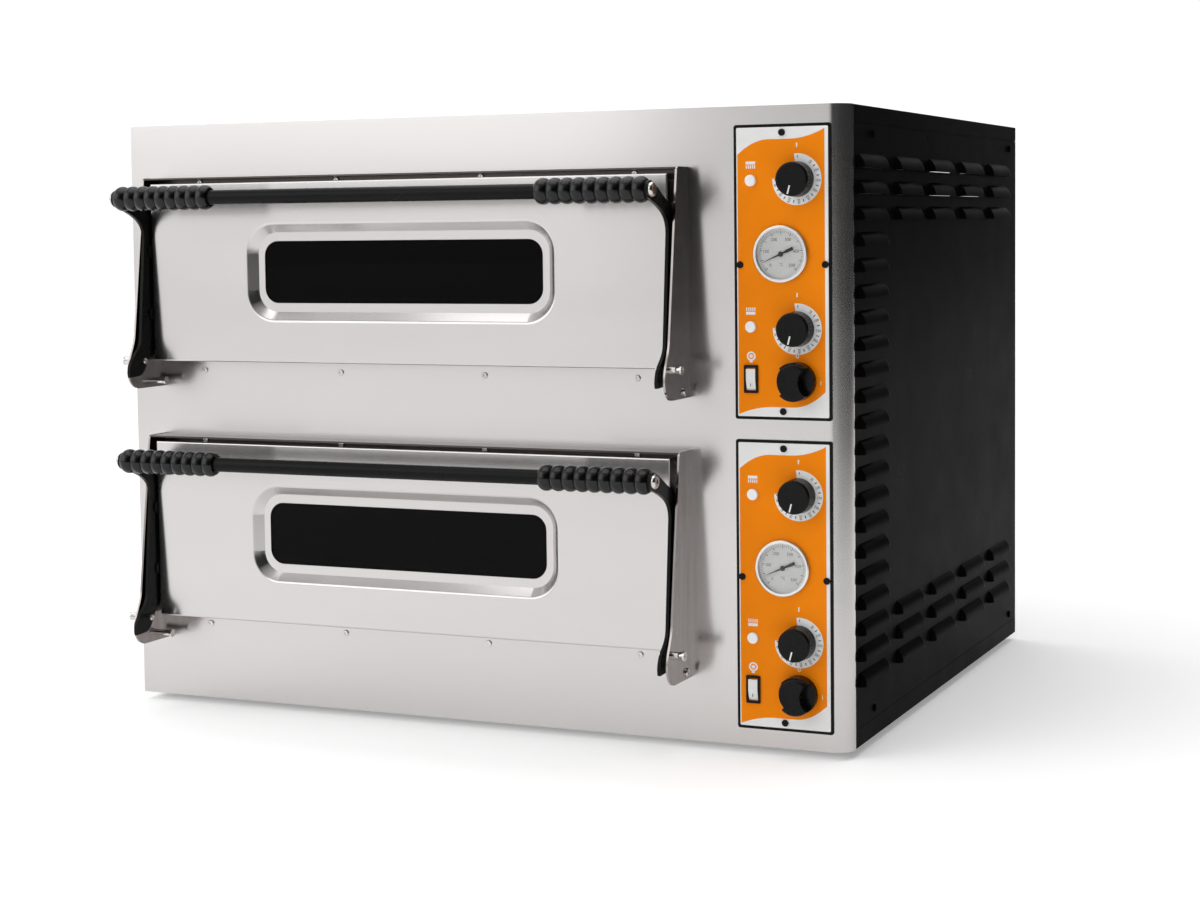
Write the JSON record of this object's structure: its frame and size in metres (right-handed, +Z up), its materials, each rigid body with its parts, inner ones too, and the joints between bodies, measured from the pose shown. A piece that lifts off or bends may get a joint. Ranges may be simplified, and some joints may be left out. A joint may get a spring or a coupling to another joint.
{
  "type": "countertop pizza oven",
  "caption": "Two-deck electric pizza oven with drop-down glazed doors, ribbed handles and a control plate beside each deck.",
  "frame": {"origin": "centre of the whole oven's footprint, on the surface the feet stand on", "axes": "+X to the right seen from the front, +Y to the back, +Z up"},
  "size_m": [0.9854, 0.9496, 0.755],
  "materials": {
    "stainless_steel": "satin, grain along X",
    "polished_steel": "polished",
    "black_enamel": "satin black",
    "galvanised_steel": "dull",
    "mineral_wool": "fibrous",
    "baking_stone": "rough",
    "clear_glass": "clear",
    "door_glass": "dark, clear",
    "black_plastic": "moulded, satin",
    "white_plastic": "gloss",
    "gauge_metal": "satin",
    "needle_black": "satin",
    "rubber_foot": "matte",
    "orange_print": "satin print"
  },
  "bodies": {
    "casing": {"back_panel": "black_enamel", "baking_stones": "baking_stone", "base_tray": "black_enamel", "cable_gland": "black_plastic", "casing_screws": "black_enamel", "chamber_lamps": "clear_glass", "cheek_studs": "polished_steel", "compartment_wall": "galvanised_steel", "control_labels": "white_plastic", "fascia_screws": "polished_steel", "feet": "rubber_foot", "front_panel": "stainless_steel", "gauge_cases": "gauge_metal", "gauge_glasses": "clear_glass", "heating_elements": "galvanised_steel", "hinge_pins": "polished_steel", "insulation": "mineral_wool", "left_side_panel": "black_enamel", "lower_chamber": "galvanised_steel", "lower_cheeks": "polished_steel", "lower_control_plate": "black_enamel", "lower_lip": "stainless_steel", "pilot_lamps": "white_plastic", "plate_screws": "black_enamel", "right_side_panel": "black_enamel", "rocker_frames": "black_plastic", "selector_switches": "black_plastic", "terminal_cover": "black_enamel", "thermostats": "black_plastic", "top_cover": "black_enamel", "upper_chamber": "galvanised_steel", "upper_cheeks": "polished_steel", "upper_control_plate": "black_enamel", "upper_lip": "stainless_steel"},
    "upper_door": {"upper_door_shell": "stainless_steel", "upper_door_liner": "galvanised_steel", "upper_door_glass": "door_glass", "upper_door_insulation": "mineral_wool", "upper_arms": "black_enamel", "upper_handle_rod": "black_enamel", "upper_grips": "black_plastic", "upper_handle_screws": "polished_steel"},
    "upper_top_knob": {"upper_top_knob": "black_plastic"},
    "upper_bottom_knob": {"upper_bottom_knob": "black_plastic"},
    "upper_selector_knob": {"upper_selector_knob": "black_plastic"},
    "upper_gauge_needle": {"upper_gauge_needle": "needle_black"},
    "upper_rocker": {"upper_rocker": "white_plastic"},
    "lower_door": {"lower_door_shell": "stainless_steel", "lower_door_liner": "galvanised_steel", "lower_door_glass": "door_glass", "lower_door_insulation": "mineral_wool", "lower_arms": "black_enamel", "lower_handle_rod": "black_enamel", "lower_grips": "black_plastic", "lower_handle_screws": "polished_steel"},
    "lower_top_knob": {"lower_top_knob": "black_plastic"},
    "lower_bottom_knob": {"lower_bottom_knob": "black_plastic"},
    "lower_selector_knob": {"lower_selector_knob": "black_plastic"},
    "lower_gauge_needle": {"lower_gauge_needle": "needle_black"},
    "lower_rocker": {"lower_rocker": "white_plastic"}
  },
  "joints": [
    {"name": "upper_door_hinge", "type": "hinge", "parent": "casing", "child": "upper_door", "pos_m": [-0.0793, -0.41925, 0.4535], "axis": [1, 0, 0], "range_deg": [0, 90]},
    {"name": "upper_top_knob_turn", "type": "hinge", "parent": "casing", "child": "upper_top_knob", "pos_m": [0.42545, -0.36185, 0.67005], "axis": [0, 1, 0], "range_deg": [-195, 75]},
    {"name": "upper_bottom_knob_turn", "type": "hinge", "parent": "casing", "child": "upper_bottom_knob", "pos_m": [0.42495, -0.36185, 0.49895], "axis": [0, 1, 0], "range_deg": [-195, 75]},
    {"name": "upper_selector_knob_turn", "type": "hinge", "parent": "casing", "child": "upper_selector_knob", "pos_m": [0.42495, -0.36185, 0.43895], "axis": [0, 1, 0], "range_deg": [0, 90]},
    {"name": "upper_gauge_needle_turn", "type": "hinge", "parent": "casing", "child": "upper_gauge_needle", "pos_m": [0.40565, -0.36185, 0.58495], "axis": [0, 1, 0], "range_deg": [-20, 240]},
    {"name": "upper_rocker_tilt", "type": "hinge", "parent": "casing", "child": "upper_rocker", "pos_m": [0.36875, -0.35785, 0.44075], "axis": [1, 0, 0], "range_deg": [-14, 0]},
    {"name": "lower_door_hinge", "type": "hinge", "parent": "casing", "child": "lower_door", "pos_m": [-0.0793, -0.41925, 0.1225], "axis": [1, 0, 0], "range_deg": [0, 90]},
    {"name": "lower_top_knob_turn", "type": "hinge", "parent": "casing", "child": "lower_top_knob", "pos_m": [0.42545, -0.36185, 0.30705], "axis": [0, 1, 0], "range_deg": [-195, 75]},
    {"name": "lower_bottom_knob_turn", "type": "hinge", "parent": "casing", "child": "lower_bottom_knob", "pos_m": [0.42495, -0.36185, 0.13595], "axis": [0, 1, 0], "range_deg": [-195, 75]},
    {"name": "lower_selector_knob_turn", "type": "hinge", "parent": "casing", "child": "lower_selector_knob", "pos_m": [0.42495, -0.36185, 0.07595], "axis": [0, 1, 0], "range_deg": [0, 90]},
    {"name": "lower_gauge_needle_turn", "type": "hinge", "parent": "casing", "child": "lower_gauge_needle", "pos_m": [0.40565, -0.36185, 0.22195], "axis": [0, 1, 0], "range_deg": [-20, 240]},
    {"name": "lower_rocker_tilt", "type": "hinge", "parent": "casing", "child": "lower_rocker", "pos_m": [0.36875, -0.35785, 0.07775], "axis": [1, 0, 0], "range_deg": [-14, 0]}
  ]
}
